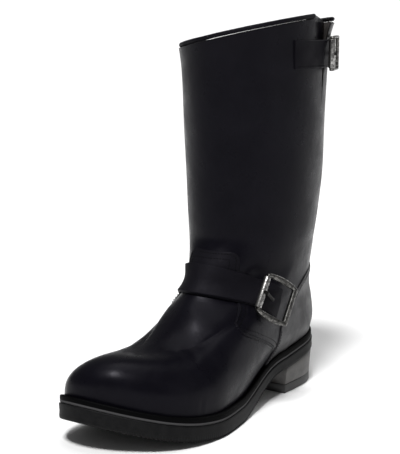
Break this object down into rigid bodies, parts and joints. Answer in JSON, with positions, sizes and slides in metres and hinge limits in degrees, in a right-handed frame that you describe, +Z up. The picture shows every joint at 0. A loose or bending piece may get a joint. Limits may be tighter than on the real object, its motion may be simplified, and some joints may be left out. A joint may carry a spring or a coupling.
{
  "type": "motorcycle boot",
  "caption": "Tall black leather pull-on boot with instep strap and buckle, buckled slit at the collar, stacked heel and rubber outsole.",
  "frame": {"origin": "on the floor under the middle of the whole boot's bounding box", "axes": "+X from the heel to the toe, +Y to the outer (left) side of the foot, +Z up"},
  "size_m": [0.3078, 0.13, 0.3491],
  "materials": {
    "black_leather": "smooth oiled",
    "insole_leather": "matte",
    "sole_rubber": "matte",
    "heel_stack": "matte",
    "aged_nickel": "worn nickel plate"
  },
  "bodies": {
    "root": {"outsole": "sole_rubber", "heel_block": "heel_stack", "heel_top_lift": "sole_rubber", "insole": "insole_leather", "rand": "black_leather", "upper": "black_leather", "slit_gusset": "black_leather", "heel_counter": "black_leather", "vamp_tab": "black_leather", "instep_strap": "black_leather", "collar_strap": "black_leather", "collar_strap_anchor": "black_leather", "collar_bead": "black_leather", "instep_buckle_frame": "aged_nickel", "instep_buckle_roller": "aged_nickel", "instep_buckle_prong": "aged_nickel", "collar_buckle_frame": "aged_nickel", "collar_buckle_roller": "aged_nickel", "collar_buckle_prong": "aged_nickel"}
  },
  "joints": []
}
